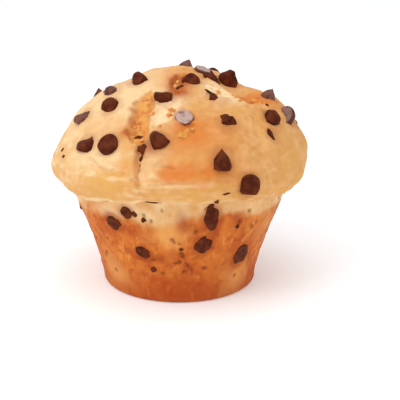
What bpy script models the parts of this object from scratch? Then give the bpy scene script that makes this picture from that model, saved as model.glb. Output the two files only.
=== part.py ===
"""A chocolate chip muffin at its real size, in metres.

The baked dough is one solid: a tapered base with the shape of its tin, a pale
neck, and a domed crown that spreads past the neck and has split as it rose.
Every chocolate chip is a solid of its own, seated in a pocket of the dough.

The muffin stands on its flat foot at the origin, with +Z up. Its shown side
faces -Y, so +X is on the right of whoever looks at it. An azimuth is counted
in degrees from -Y towards +X. A latitude is the angle above the level of the
neck, seen from the axis, so it is 90 at the summit and negative on the base.
"""

import math
import random
from collections import namedtuple

import bmesh
import bpy
from mathutils import Matrix, Vector, kdtree, noise

MM = 0.001

# Outline of the dough, from the foot up.
FOOT_RADIUS = 27.2 * MM
FOOT_EDGE = 1.6 * MM  # radius of the rounded edge at the foot
RIM_RADIUS = 35.9 * MM  # where the wall leaves the tin
RIM_HEIGHT = 29.0 * MM
WALL_POWER = 1.4  # above 1 the wall is a little hollow and flares towards the rim
WALL_STEPS = 8
NECK_RADIUS = 37.2 * MM
NECK_HEIGHT = 36.5 * MM
CROWN_RADIUS = 44.6 * MM
EQUATOR_HEIGHT = 44.5 * MM  # level of the crown's widest ring
SUMMIT_HEIGHT = 75.4 * MM
DOME_WIDTH_POWER = 1.45  # 2 would make the dome an ellipse, less makes it more pointed
DOME_HEIGHT_POWER = 1.75

# How finely the dough is divided.
SECTORS = 54
RINGS = 25
OUTLINE_STEPS = 40  # samples of each stretch of the outline

# Relief of the dough.
LUMP_SIZE = 17.0 * MM
CROWN_LUMP = 1.0 * MM
WALL_LUMP = 0.35 * MM
FOOT_STAYS_FLAT = 5.0 * MM  # the relief fades out over this height above the foot
SPLIT_UNEVEN = 0.35  # how much the width of a split varies along it
SPLIT_UNEVEN_SIZE = 5.6 * MM
SPLIT_SWELL = 0.9 * MM  # how far the skin swells beside a split
SPLIT_SWELL_REACH = 8.0 * MM
ROUTE_STEPS = 3

# The neck is higher at the front than elsewhere.
NECK_RISE = 4.8 * MM  # from the sides to the front
NECK_DROP = 1.0 * MM  # how far below NECK_HEIGHT it lies at the sides and behind
SHIFT_STARTS = (24.0 * MM, 36.5 * MM)  # heights between which this shift grows to its full size
SHIFT_ENDS = (40.0 * MM, 52.0 * MM)  # heights between which it dies out again

# Chips.
CHIP_HEIGHT = 0.90  # height of a chip, as a share of its width
CHIP_SIDES = 8
POCKET_GAP = 0.30 * MM
WALL_CHIP_DEPTH = 0.42  # thickness of a chip pressed flat by the tin, as a share of its width
WALL_CHIP_PROUD = 0.15 * MM  # how far its outer face stands out of the wall

Lobe = namedtuple("Lobe", "azimuth latitude spread lift")
Split = namedtuple("Split", "depth width route")
Chip = namedtuple("Chip", "azimuth latitude width lean heading proud")
WallChip = namedtuple("WallChip", "azimuth height width tall")

# Swellings and hollows of the crown. Spread and lift are in millimetres.
LOBES = (
    Lobe(-78, 52, 11, 2.2),  # hump on the left flank
    Lobe(92, 40, 13, 3.4),  # full right shoulder
    Lobe(85, 56, 8, -4.4),  # dip between the shoulder and the summit
    Lobe(104, 62, 8, -1.6),
    Lobe(-90, 76, 9, 2.0),  # the summit leans a little to the left
    Lobe(-60, 16, 13, 0.9),
    Lobe(86, 5, 9, -1.2),
    Lobe(-84, 37, 8, 1.2),
    Lobe(-88, 18.5, 5.5, -1.1),
    Lobe(-68, 3, 6, -1.4),
    Lobe(90, 19, 9, 1.2),
    Lobe(18, 28, 16, 1.0),
    Lobe(150, 45, 15, 2.0),
    Lobe(-150, 30, 15, 1.6),
    Lobe(180, 62, 8, -1.6),
    Lobe(-120, 55, 9, -1.2),
)

# Splits where the skin of the crown tore open. Depth and width are in
# millimetres, and a route is a list of (azimuth, latitude) stations.
SPLITS = (
    Split(3.0, 8.2, ((-32, 62), (-30, 55), (-28, 48), (-25, 41), (-22, 34), (-20, 29))),
    Split(2.0, 2.6, ((-21, 31), (-20, 27), (-19, 22), (-18, 16), (-17, 9))),
    Split(2.0, 5.0, ((12, 82), (-1, 77), (-5, 70), (-5, 62))),
    Split(1.9, 6.0, ((46, 64), (54, 59), (65, 54), (76, 48))),
    Split(3.0, 6.4, ((140, 74), (158, 58), (150, 44), (164, 30))),
    Split(2.4, 5.6, ((-170, 66), (-140, 60), (-118, 48), (-122, 36))),
)

# Chips on the shown side of the crown. Width and proud, the height of the
# chip's middle above the skin, are in millimetres. A lean of 0 turns the tip
# straight out of the dough, 90 lays the chip on its side and 180 shows its
# flat base. A heading of 0 leans it towards the summit, 90 to the right.
SHOWN_CHIPS = (
    Chip(-63, 66, 6.4, 100, 180, -0.4),
    Chip(-69, 54, 6.0, 80, 60, -0.6),
    Chip(-99, 46, 4.8, 25, 0, 0.4),
    Chip(-55, 47, 6.8, 95, 100, -0.6),
    Chip(-70, 36, 6.4, 70, 10, -0.4),
    Chip(-50, 26.5, 6.8, 80, 0, -0.2),
    Chip(-37, 28.7, 7.4, 172, -40, -1.6),
    Chip(-15, 58, 6.8, 140, 180, -0.8),
    Chip(20, 75, 6.4, 135, 0, -1.1),
    Chip(122, 86, 4.8, 20, -90, 1.2),
    Chip(90, 79, 5.8, 172, 20, -0.5),
    Chip(76, 73, 5.6, 75, 110, 0.1),
    Chip(117, 61.5, 6.0, 105, 90, 0.9),
    Chip(37, 58, 5.6, 85, 120, -1.2),
    Chip(3, 46, 6.0, 172, 0, -0.8),
    Chip(-11.5, 31.8, 7.8, 120, 215, -0.8),
    Chip(-18, 27.6, 4.4, 90, 170, -1.0),
    Chip(29, 40, 6.6, 85, 215, -0.8),
    Chip(87, 43.5, 5.4, 10, 0, 1.2),
    Chip(63, 36.5, 6.8, 95, 265, -0.4),
    Chip(82, 31, 8.0, 90, 140, -0.9),
    Chip(55, 30, 5.2, 60, 180, -1.0),
    Chip(19, 24, 7.6, 65, 10, -0.2),
    Chip(30, 9.6, 7.6, 168, 180, -1.4),
)

# Chips pressed against the tin, on the shown side. Height, width and tall are
# in millimetres.
SHOWN_WALL_CHIPS = (
    WallChip(-29, 32.5, 4.6, 4.8),
    WallChip(-37, 28.9, 6.6, 6.0),
    WallChip(17, 31.2, 6.0, 9.8),
    WallChip(14, 23.4, 6.8, 8.2),
    WallChip(43, 16.2, 6.8, 9.2),
    WallChip(-22.5, 19.2, 5.2, 6.0),
)

# The far side carries chips of the same size, spread by the golden angle.
FAR_CHIPS = 18
FAR_WALL_CHIPS = 6
FAR_SEED = 11
GOLDEN_ANGLE = 137.5
FAR_START = 68  # the angle of the first far chip
FAR_LATITUDES = (14, 49)
FAR_HALF_WIDTH = 60  # degrees of azimuth to each side of +Y
FAR_WALL_HEIGHTS = (12, 33)

DOUGH_COLOUR = (0.76, 0.46, 0.18, 1.0)
CHOCOLATE_COLOUR = (0.075, 0.026, 0.018, 1.0)


def smooth_step(low, high, value):
    """0 below low, 1 above high, and a smooth rise between them."""
    share = min(1.0, max(0.0, (value - low) / (high - low)))
    return share * share * (3 - 2 * share)


def direction(azimuth):
    """The level unit vector that points out of the axis at an azimuth in degrees."""
    turn = math.radians(azimuth)
    return Vector((math.sin(turn), -math.cos(turn), 0))


def wall_point(share):
    """The wall's (radius, height) at a share of its height, 0 at the foot and 1 at the rim."""
    radius = FOOT_RADIUS + (RIM_RADIUS - FOOT_RADIUS) * share**WALL_POWER
    return radius, FOOT_EDGE + (RIM_HEIGHT - FOOT_EDGE) * share


def outline():
    """The dough's (radius, height) outline, from the summit down to the edge of the flat foot."""
    quarter = [math.pi / 2 * step / OUTLINE_STEPS for step in range(OUTLINE_STEPS + 1)]
    dome = []
    for angle in quarter:
        rise = math.cos(angle)
        reach = (1 - rise**DOME_HEIGHT_POWER) ** (1 / DOME_WIDTH_POWER)
        height = EQUATOR_HEIGHT + (SUMMIT_HEIGHT - EQUATOR_HEIGHT) * rise
        dome.append((CROWN_RADIUS * reach, height))
    curl = [
        (
            NECK_RADIUS + (CROWN_RADIUS - NECK_RADIUS) * math.cos(angle),
            EQUATOR_HEIGHT - (EQUATOR_HEIGHT - NECK_HEIGHT) * math.sin(angle),
        )
        for angle in quarter
    ]
    foot = [
        (
            FOOT_RADIUS - FOOT_EDGE * (1 - math.cos(angle)),
            FOOT_EDGE * (1 - math.sin(angle)),
        )
        for angle in quarter
    ]
    wall = [wall_point(1 - step / WALL_STEPS) for step in range(WALL_STEPS)]
    return dome + curl[1:] + wall + foot


def evenly_spaced(points, count):
    """count + 1 points at equal distances along a polyline."""
    lengths = [math.dist(a, b) for a, b in zip(points, points[1:])]
    spacing = sum(lengths) / count
    spaced, walked = [points[0]], 0.0
    for start, end, length in zip(points, points[1:], lengths):
        while len(spaced) < count and walked + length >= spacing * len(spaced):
            share = (spacing * len(spaced) - walked) / length
            spaced.append(tuple(a + (b - a) * share for a, b in zip(start, end)))
        walked += length
    return spaced + [points[-1]]


OUTLINE = outline()


def latitude_of(radius, height):
    return math.degrees(math.atan2(height - NECK_HEIGHT, radius))


def outline_at(latitude):
    """The mean outline's (radius, height) at a latitude."""
    for high, low in zip(OUTLINE, OUTLINE[1:]):
        top, bottom = latitude_of(*high), latitude_of(*low)
        if bottom <= latitude <= top and top > bottom:
            share = (top - latitude) / (top - bottom)
            return tuple(a + (b - a) * share for a, b in zip(high, low))
    return OUTLINE[0] if latitude > 0 else OUTLINE[-1]


def latitude_at_height(height):
    """The latitude of the mean outline at a height."""
    for high, low in zip(OUTLINE, OUTLINE[1:]):
        if low[1] <= height < high[1]:
            share = (height - low[1]) / (high[1] - low[1])
            return latitude_of(low[0] + (high[0] - low[0]) * share, height)
    return 90.0


def mean_point(azimuth, latitude):
    radius, height = outline_at(latitude)
    return direction(azimuth) * radius + Vector((0, 0, height))


def mean_normal(azimuth, latitude):
    """The outward normal of the mean outline."""
    above = outline_at(min(90.0, latitude + 1))
    below = outline_at(max(latitude_of(*OUTLINE[-1]), latitude - 1))
    run, rise = below[0] - above[0], above[1] - below[1]
    return (direction(azimuth) * rise + Vector((0, 0, run))).normalized()


def route_stations(route):
    """The (azimuth, latitude) stations of a route, with ROUTE_STEPS to each of its legs."""
    stations = [route[0]]
    for start, end in zip(route, route[1:]):
        for step in range(1, ROUTE_STEPS + 1):
            share = step / ROUTE_STEPS
            stations.append(tuple(a + (b - a) * share for a, b in zip(start, end)))
    return stations


def split_tree():
    """A search tree of the points that all the splits pass through."""
    points = [mean_point(*station) for split in SPLITS for station in route_stations(split.route)]
    tree = kdtree.KDTree(len(points))
    for index, point in enumerate(points):
        tree.insert(point, index)
    tree.balance()
    return tree


SPLIT_TREE = split_tree()
LOBE_CENTRES = [(mean_point(l.azimuth, l.latitude), l.spread * MM, l.lift * MM) for l in LOBES]


def relief(point):
    """How far the skin stands out of the mean outline at a point of it."""
    on_crown = smooth_step(RIM_HEIGHT, EQUATOR_HEIGHT, point.z)
    lump = WALL_LUMP + (CROWN_LUMP - WALL_LUMP) * on_crown
    lift = lump * noise.noise(point / LUMP_SIZE)
    for centre, spread, height in LOBE_CENTRES:
        lift += height * math.exp(-(((point - centre).length / spread) ** 2))
    away = SPLIT_TREE.find(point)[2] / SPLIT_SWELL_REACH
    lift += SPLIT_SWELL * math.exp(-(away**2))
    return lift * smooth_step(0, FOOT_STAYS_FLAT, point.z)


def neck_shift(azimuth, height):
    """How far the skin near the neck is moved up, where the neck is not at NECK_HEIGHT."""
    full = smooth_step(*SHIFT_STARTS, height) * (1 - smooth_step(*SHIFT_ENDS, height))
    forward = max(0.0, math.cos(math.radians(azimuth)))
    return (NECK_RISE * forward**2 - NECK_DROP) * full


def skin_point(azimuth, latitude):
    """The point of the dough's skin at an azimuth and a latitude."""
    mean = mean_point(azimuth, latitude)
    shift = Vector((0, 0, neck_shift(azimuth, mean.z)))
    return mean + shift + mean_normal(azimuth, latitude) * relief(mean)


def new_object(name, mesh, collection):
    made = bpy.data.objects.new(name, mesh)
    collection.objects.link(made)
    return made


def split_mesh(split):
    """A wedge along a split's route, its sharp edge down in the dough, that tapers to both ends."""
    stations = route_stations(split.route)
    points = [skin_point(*station) for station in stations]
    bm = bmesh.new()
    rings = []
    for index, (station, point) in enumerate(zip(stations, points)):
        along = (points[min(index + 1, len(points) - 1)] - points[max(index - 1, 0)]).normalized()
        normal = mean_normal(*station)
        across = normal.cross(along).normalized()
        taper = math.sin(math.pi * (index + 0.5) / len(points)) ** 0.5
        uneven = 1 + SPLIT_UNEVEN * noise.noise(point / SPLIT_UNEVEN_SIZE)
        half = across * split.width * MM / 2 * taper * uneven
        deep = normal * split.depth * MM * taper
        corners = (point + 2 * half + deep, point - 2 * half + deep, point - deep)
        rings.append([bm.verts.new(corner) for corner in corners])
    for near, far in zip(rings, rings[1:]):
        for side in range(3):
            after = (side + 1) % 3
            bm.faces.new((near[side], near[after], far[after], far[side]))
    bm.faces.new(reversed(rings[0]))
    bm.faces.new(rings[-1])
    bmesh.ops.recalc_face_normals(bm, faces=bm.faces)
    mesh = bpy.data.meshes.new("split")
    bm.to_mesh(mesh)
    bm.free()
    return mesh


def turned_mesh(name, profile, sides):
    """A solid of revolution about Z from a (radius, height) profile that runs from top to bottom."""
    mesh = bpy.data.meshes.new(name)
    points = [(radius, 0, height) for radius, height in profile]
    mesh.from_pydata(points, [(i, i + 1) for i in range(len(points) - 1)], [])
    blank = new_object(name, mesh, bpy.context.scene.collection)
    screw = blank.modifiers.new("turn", "SCREW")
    screw.steps = sides
    screw.render_steps = sides
    screw.use_merge_vertices = True
    screw.merge_threshold = 0.00005
    bpy.context.view_layer.update()
    graph = bpy.context.evaluated_depsgraph_get()
    turned = bpy.data.meshes.new_from_object(blank.evaluated_get(graph))
    turned.name = name
    bpy.data.objects.remove(blank)
    bpy.data.meshes.remove(mesh)
    return turned


def dough_mesh():
    """The dough with its lobes and splits, before its pockets are cut."""
    profile = evenly_spaced(OUTLINE, RINGS)
    profile[0] = (0, SUMMIT_HEIGHT)
    mesh = turned_mesh("muffin", profile + [(0, 0)], SECTORS)
    for vertex in mesh.vertices:
        radius = math.hypot(vertex.co.x, vertex.co.y)
        if vertex.co.z < WALL_CHIP_PROUD:
            continue
        azimuth = math.degrees(math.atan2(vertex.co.x, -vertex.co.y))
        vertex.co = skin_point(azimuth, latitude_of(radius, vertex.co.z))
    return mesh


def drop_mesh():
    """A whole chocolate chip, 1 wide, with its middle at the origin and its tip up."""
    middle = CHIP_HEIGHT / 2
    tip, belly, edge = 0.14, 0.50, 0.44
    profile = (
        (0, middle),
        (tip, middle - 0.21),
        (belly, middle - 0.68),
        (edge, -middle),
        (0, -middle),
    )
    return turned_mesh("chip", profile, CHIP_SIDES)


def pressed_mesh():
    """A chip pressed by the tin, 1 wide, with its middle at the origin and its flat face up."""
    middle = WALL_CHIP_DEPTH / 2
    profile = (
        (0, middle),
        (0.40, middle),
        (0.50, middle - 0.08),
        (0.38, middle - 0.30),
        (0, -middle),
    )
    return turned_mesh("pressed_chip", profile, CHIP_SIDES)


def material(name, colour, roughness):
    made = bpy.data.materials.new(name)
    made.use_nodes = True
    shader = made.node_tree.nodes["Principled BSDF"]
    shader.inputs["Base Color"].default_value = colour
    shader.inputs["Roughness"].default_value = roughness
    return made


def chip_matrix(chip):
    """Where a crown chip lies: its tip turned by its lean, towards its heading."""
    normal = mean_normal(chip.azimuth, chip.latitude)
    right = Vector((0, 0, 1)).cross(normal).normalized()
    uphill = normal.cross(right)
    heading = math.radians(chip.heading)
    towards = uphill * math.cos(heading) + right * math.sin(heading)
    lean = math.radians(chip.lean)
    tip = normal * math.cos(lean) + towards * math.sin(lean)
    place = skin_point(chip.azimuth, chip.latitude) + normal * chip.proud * MM
    return Matrix.Translation(place) @ tip.to_track_quat("Z", "Y").to_matrix().to_4x4()


def wall_chip_matrix(chip):
    """Where a wall chip lies: its flat face just proud of the wall, and its height up the wall."""
    latitude = latitude_at_height(chip.height * MM)
    normal = mean_normal(chip.azimuth, latitude)
    right = Vector((0, 0, 1)).cross(normal).normalized()
    axes = Matrix((right, normal.cross(right), normal)).transposed()
    sunk = WALL_CHIP_DEPTH / 2 * chip.width * MM - WALL_CHIP_PROUD
    place = skin_point(chip.azimuth, latitude) - normal * sunk
    return Matrix.Translation(place) @ axes.to_4x4()


def far_chips():
    """Crown chips for the far side, in the order that the golden angle gives them."""
    rng = random.Random(FAR_SEED)
    low, high = FAR_LATITUDES
    chips = []
    for index in range(FAR_CHIPS):
        across = ((FAR_START + index * GOLDEN_ANGLE) / 360) % 1
        latitude = low + (high - low) * ((index + 0.5) / FAR_CHIPS) ** 1.15
        azimuth = 180 + FAR_HALF_WIDTH * (2 * across - 1)
        lean = rng.choice((75, 60, 95, 150))
        width = rng.uniform(6.0, 8.0)
        chips.append(Chip(azimuth, latitude, width, lean, rng.uniform(0, 360), rng.uniform(-1.2, -0.2)))
    return chips


def far_wall_chips():
    rng = random.Random(FAR_SEED)
    low, high = FAR_WALL_HEIGHTS
    chips = []
    for index in range(FAR_WALL_CHIPS):
        azimuth = 180 + FAR_HALF_WIDTH * (2 * index / (FAR_WALL_CHIPS - 1) - 1)
        height = low + (high - low) * ((index * GOLDEN_ANGLE / 360) % 1)
        chips.append(WallChip(azimuth, height, rng.uniform(4.6, 6.4), rng.uniform(4.6, 8.0)))
    return chips


def new_cutter(name, mesh, cutters):
    cutter = new_object(name, mesh, cutters)
    cutter.hide_render = True
    cutter.display_type = "WIRE"
    return cutter


def seat(name, mesh, matrix, size, parts, cutters):
    """Adds a chip and the cutter that leaves its pocket round it with an even gap."""
    chip = new_object(name, mesh, parts)
    cutter = new_cutter(name + "_pocket", mesh, cutters)
    spans = chip.dimensions
    grown = [side * (1 + 2 * POCKET_GAP / (side * span)) for side, span in zip(size, spans)]
    chip.matrix_world = matrix @ Matrix.Diagonal((*size, 1))
    cutter.matrix_world = matrix @ Matrix.Diagonal((*grown, 1))


def clear_scene():
    for old in list(bpy.data.objects):
        bpy.data.objects.remove(old)


def new_collection(name):
    made = bpy.data.collections.new(name)
    bpy.context.scene.collection.children.link(made)
    return made


def main():
    clear_scene()
    parts = new_collection("chocolate_chip_muffin")
    cutters = new_collection("cutters")
    chocolate = material("chocolate", CHOCOLATE_COLOUR, 0.38)
    drop, pressed = drop_mesh(), pressed_mesh()
    for mesh in (drop, pressed):
        mesh.materials.append(chocolate)

    crown_chips = [("chip_front", chip) for chip in SHOWN_CHIPS]
    crown_chips += [("chip_back", chip) for chip in far_chips()]
    for number, (name, chip) in enumerate(crown_chips, 1):
        size = [chip.width * MM] * 3
        seat(f"{name}_{number:02d}", drop, chip_matrix(chip), size, parts, cutters)
    wall_chips = list(SHOWN_WALL_CHIPS) + far_wall_chips()
    for number, chip in enumerate(wall_chips, 1):
        size = [chip.width * MM, chip.tall * MM, chip.width * MM]
        seat(f"chip_wall_{number:02d}", pressed, wall_chip_matrix(chip), size, parts, cutters)

    for number, split in enumerate(SPLITS, 1):
        new_cutter(f"split_{number}", split_mesh(split), cutters)

    dough = new_object("muffin", dough_mesh(), parts)
    dough.data.materials.append(material("dough", DOUGH_COLOUR, 0.75))
    pockets = dough.modifiers.new("chip_pockets", "BOOLEAN")
    pockets.operation = "DIFFERENCE"
    pockets.operand_type = "COLLECTION"
    pockets.collection = cutters
    for made in parts.objects:
        made.data.shade_smooth()
        made.data.set_sharp_from_angle(angle=math.radians(50))


main()
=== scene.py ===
"""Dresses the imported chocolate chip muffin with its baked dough, chips, crumbs, light and camera.

Lengths are in metres. The muffin stands on its foot at the origin with +Z up, and its shown side
faces -Y. An azimuth is counted in degrees from -Y towards +X. A latitude is the angle above the
level of the neck, seen from the axis: 90 at the summit, negative on the base.
"""

import logging
import math
import random
from dataclasses import dataclass
from enum import Enum

import bmesh
import bpy
import numpy as np
from mathutils import Matrix, Vector, kdtree, noise
from mathutils.bvhtree import BVHTree


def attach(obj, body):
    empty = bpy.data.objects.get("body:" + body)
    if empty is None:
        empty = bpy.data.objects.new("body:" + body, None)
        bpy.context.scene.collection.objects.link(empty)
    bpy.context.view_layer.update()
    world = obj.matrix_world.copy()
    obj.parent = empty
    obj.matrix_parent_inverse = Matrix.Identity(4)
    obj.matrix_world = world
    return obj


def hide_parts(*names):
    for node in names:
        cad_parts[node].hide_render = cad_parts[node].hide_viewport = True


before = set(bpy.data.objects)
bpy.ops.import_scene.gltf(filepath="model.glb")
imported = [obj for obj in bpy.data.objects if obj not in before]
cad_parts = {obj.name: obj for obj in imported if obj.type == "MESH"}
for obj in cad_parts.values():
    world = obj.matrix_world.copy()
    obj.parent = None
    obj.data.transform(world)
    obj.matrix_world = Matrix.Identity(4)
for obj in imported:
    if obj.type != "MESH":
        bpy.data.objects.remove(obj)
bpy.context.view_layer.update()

logging.basicConfig(level=logging.INFO, format="%(message)s")
log = logging.getLogger("muffin")

MM = 0.001
# Without a seed, vector noise starts from the clock, and the chips slump anew each time.
SEED = 5

Array = np.ndarray
Material = bpy.types.Material
Piece = bpy.types.Object
Socket = bpy.types.NodeSocket
Colour = tuple[float, float, float, float]
Paint = Colour | Socket
Inputs = dict[int | str, object]
Sockets = tuple[tuple[str, str], ...]
Size = float | tuple[float, float, float]
Layers = tuple[tuple[float, Size, float], ...]


def tone(red: int, green: int, blue: int) -> Colour:
    """Turns a colour from a paint chart, 0 to 255 each, into opaque linear light."""
    linear = [((c / 255 + 0.055) / 1.055) ** 2.4 for c in (red, green, blue)]
    return (*linear, 1.0)


def smooth_step(low: float, high: float, value: Array) -> Array:
    """Rises smoothly from 0 at low to 1 at high."""
    share = np.clip((value - low) / (high - low), 0.0, 1.0)
    return share * share * (3 - 2 * share)


def band(value: Array, starts: float, full: float, fades: float, ends: float) -> Array:
    """Rises smoothly from 0 at starts to 1 at full, and falls back from fades to ends."""
    return smooth_step(starts, full, value) * (1 - smooth_step(fades, ends, value))


def hump(away: Array) -> Array:
    """Falls smoothly from 1 at 0 to almost nothing at 2."""
    return np.exp(-(away**2))


def noise_at(points: Array, size: Size, shift: float) -> Array:
    """Reads smooth noise, about -1 to 1, at each row of points. Its lumps are of a size in metres."""
    scaled = points / np.asarray(size) + shift
    return np.array([noise.noise(Vector(point)) for point in scaled])


def layered(points: Array, layers: Layers) -> Array:
    """Adds up layers of smooth noise, each of a height, a size and a shift."""
    return sum(height * noise_at(points, size, shift) for height, size, shift in layers)


def direction(azimuth: float) -> Vector:
    """Gives the level unit vector at an azimuth in degrees."""
    turn = math.radians(azimuth)
    return Vector((math.sin(turn), -math.cos(turn), 0))


# ---- the dough's outline


@dataclass(frozen=True)
class Outline:
    """The mean outline of the dough, from the summit to the middle of the foot."""

    foot_radius: float = 27.2 * MM
    foot_edge: float = 1.6 * MM
    rim_radius: float = 35.9 * MM
    rim_height: float = 29.0 * MM
    wall_power: float = 1.4
    wall_steps: int = 8
    neck_radius: float = 37.2 * MM
    neck_height: float = 36.5 * MM
    crown_radius: float = 44.6 * MM
    equator_height: float = 44.5 * MM
    summit_height: float = 75.4 * MM
    width_power: float = 1.45
    height_power: float = 1.75
    steps: int = 60
    neck_rise: float = 4.8 * MM
    neck_drop: float = 1.0 * MM
    shift_starts: tuple[float, float] = (24.0 * MM, 36.5 * MM)
    shift_ends: tuple[float, float] = (40.0 * MM, 52.0 * MM)

    def points(self) -> Array:
        """Traces the outline.

        Returns:
            One (radius, height) to a row.
        """
        quarter = np.linspace(0, math.pi / 2, self.steps)
        cosine, sine = np.cos(quarter), np.sin(quarter)
        reach = (1 - cosine**self.height_power) ** (1 / self.width_power)
        rise = self.summit_height - self.equator_height
        dome = (self.crown_radius * reach, self.equator_height + rise * cosine)
        curl = (
            self.neck_radius + (self.crown_radius - self.neck_radius) * cosine,
            self.equator_height - (self.equator_height - self.neck_height) * sine,
        )
        share = 1 - np.arange(self.wall_steps) / self.wall_steps
        wall = (
            self.foot_radius + (self.rim_radius - self.foot_radius) * share**self.wall_power,
            self.foot_edge + (self.rim_height - self.foot_edge) * share,
        )
        foot = (self.foot_radius - self.foot_edge * (1 - cosine), self.foot_edge * (1 - sine))
        stretches = [np.column_stack(stretch) for stretch in (dome, curl, wall, foot)]
        stretches[1] = stretches[1][1:]
        return np.vstack([*stretches, np.zeros((1, 2))])

    def neck_shift(self, points: Array) -> Array:
        """Tells how far the skin near the neck is moved up, because the neck is higher at the front.

        Args:
            points: Points of the mean outline, one to a row.

        Returns:
            One length to a point.
        """
        full = band(points[:, 2], *self.shift_starts, *self.shift_ends)
        forward = np.maximum(0, -points[:, 1] / np.maximum(np.hypot(points[:, 0], points[:, 1]), MM))
        return (self.neck_rise * forward**2 - self.neck_drop) * full


class Meridian:
    """The outline as a curve that is read by its length or by latitude."""

    samples = 1600
    blur = 15

    def __init__(self, outline: Outline) -> None:
        """Measures the outline.

        Args:
            outline: The outline to follow.
        """
        self.outline = outline
        corners = outline.points()
        lengths = np.concatenate(([0], np.cumsum(np.hypot(*np.diff(corners, axis=0).T))))
        self.length = np.linspace(0, lengths[-1], self.samples)
        self.radius = np.interp(self.length, lengths, corners[:, 0])
        self.height = np.interp(self.length, lengths, corners[:, 1])
        self.foot_starts = lengths[-2]
        evenly = np.ones(self.blur) / self.blur
        run, rise = (
            np.convolve(np.pad(np.gradient(values), self.blur // 2, mode="edge"), evenly, mode="valid")
            for values in (self.radius, self.height)
        )
        size = np.hypot(run, rise)
        self.normal_out, self.normal_up = -rise / size, run / size
        self.latitude = np.degrees(np.arctan2(self.height - outline.neck_height, self.radius))

    def length_at(self, latitude: float) -> float:
        """Finds how far down the outline from the summit a latitude lies."""
        on_skin = self.length <= self.foot_starts
        return float(np.interp(-latitude, -self.latitude[on_skin], self.length[on_skin]))

    def latitude_of_height(self, height: float) -> float:
        """Gives the latitude of the base's wall at a height above the floor."""
        wall = (self.latitude < 0) & (self.length <= self.foot_starts)
        return float(np.interp(-height, -self.height[wall], self.latitude[wall]))

    def read(self, azimuth: float, latitude: float, outward: Array, upward: Array) -> Vector:
        """Reads a vector from two curves over the outline's length.

        Args:
            azimuth: In degrees.
            latitude: In degrees.
            outward: The vector's reach away from the axis.
            upward: Its reach upward.

        Returns:
            The vector.
        """
        length = self.length_at(latitude)
        out, up = (float(np.interp(length, self.length, curve)) for curve in (outward, upward))
        return direction(azimuth) * out + Vector((0, 0, up))

    def point(self, azimuth: float, latitude: float) -> Vector:
        """Gives a point of the mean outline, from two angles in degrees."""
        return self.read(azimuth, latitude, self.radius, self.height)

    def normal(self, azimuth: float, latitude: float) -> Vector:
        """Gives the outward unit normal of the mean outline, from two angles in degrees."""
        return self.read(azimuth, latitude, self.normal_out, self.normal_up).normalized()


MERIDIAN = Meridian(Outline())


# ---- what shapes the skin


@dataclass(frozen=True)
class Spot:
    """A soft round spot on the skin: a swelling, a hollow, or a patch of another tone."""

    azimuth: float
    latitude: float
    spread: float
    strength: float


def spots(rows: tuple[tuple[float, float, float, float], ...], unit: float = 1.0) -> tuple[Spot, ...]:
    """Makes spots from rows of azimuth, latitude, spread in millimetres and strength in units."""
    return tuple(Spot(*centre, spread * MM, strength * unit) for *centre, spread, strength in rows)


def spots_at(points: Array, marks: tuple[Spot, ...], ragged: Array | float = 1.0) -> Array:
    """Adds up spots.

    Args:
        points: One point to a row.
        marks: The spots.
        ragged: Scales the distances, so that the spots' edges are uneven.

    Returns:
        The strength of all spots together at each point.
    """
    total = np.zeros(len(points))
    for mark in marks:
        centre = np.array(MERIDIAN.point(mark.azimuth, mark.latitude))
        away = np.linalg.norm(points - centre, axis=1) * ragged / mark.spread
        total += mark.strength * hump(away)
    return total


@dataclass(frozen=True)
class Tear:
    """A line along which the skin has torn.

    The floor of a wide tear is open crumb, and its lips stand up. The far lip is the one on the
    right of whoever walks the route from its first station.
    """

    depth: float
    width: float
    route: tuple[tuple[float, float], ...]
    crumb: float = 1.0
    near_lip: float = 0.3
    far_lip: float = 0.3
    # How strongly rust-brown is laid in a crack or along a split's edge: painted shade in these recesses.
    stain_and_shade: float = 0.8
    pale: float = 0.0


class Tint(Enum):
    """A tone that a patch of crust takes."""

    CREAM = "pale"
    AMBER = "blush"
    GOLD = "gold"
    RUST_AND_SHADE = "halo"
    TAN = "streak"


LOBES = spots(
    (
        (-78, 52, 11, 2.2), (92, 40, 13, 3.4), (85, 56, 8, -4.4), (104, 62, 8, -1.6),
        (-90, 76, 9, 2.0), (-60, 16, 13, 0.9), (86, 5, 9, -1.2), (-84, 37, 8, 1.2),
        (-88, 18.5, 5.5, -1.1), (-68, 3, 6, -1.4), (90, 19, 9, 1.2), (18, 28, 16, 1.0),
        (150, 45, 15, 2.0), (-150, 30, 15, 1.6), (180, 62, 8, -1.6), (-120, 55, 9, -1.2),
    ),
    MM,
)

FRONT_SPLIT = ((-32, 62), (-30, 55), (-28, 48), (-25, 41), (-22, 34), (-20, 29))

SPLITS = (
    Tear(3.0 * MM, 8.2 * MM, FRONT_SPLIT, 0.9, 0.5, 0.6, 0.6),
    Tear(2.0 * MM, 2.0 * MM, ((-21, 31), (-20, 27), (-19, 22), (-18, 16), (-17, 9)), 0.3, 0.1, 1.2),
    Tear(1.6 * MM, 5.0 * MM, ((12, 82), (-1, 77), (-5, 70), (-5, 62)), 0.8, 0.4, 0.2, 0.9),
    Tear(1.6 * MM, 9.0 * MM, ((42, 68), (48, 63), (56, 57)), 1.0, 0.2, 0.6, 0.3, 1.0),
    Tear(1.5 * MM, 8.0 * MM, ((60, 56), (68, 51), (78, 46)), 1.0, 0.3, 0.4, 0.5),
    Tear(3.0 * MM, 6.4 * MM, ((140, 74), (158, 58), (150, 44), (164, 30)), 1.0, 0.5, 0.6),
    Tear(2.4 * MM, 5.6 * MM, ((-170, 66), (-140, 60), (-118, 48), (-122, 36)), 1.0, 0.5, 0.4),
    Tear(0.8 * MM, 5.0 * MM, ((8, 47), (6, 42), (4, 38), (-1, 35.5)), 1.0, 0.2, 0.2, 0.5),
    Tear(0.5 * MM, 7.0 * MM, ((-1, 58), (-9, 50), (-13, 42)), 0.8, 0.2, 0.2, 0.1, 1.0),
)

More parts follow.
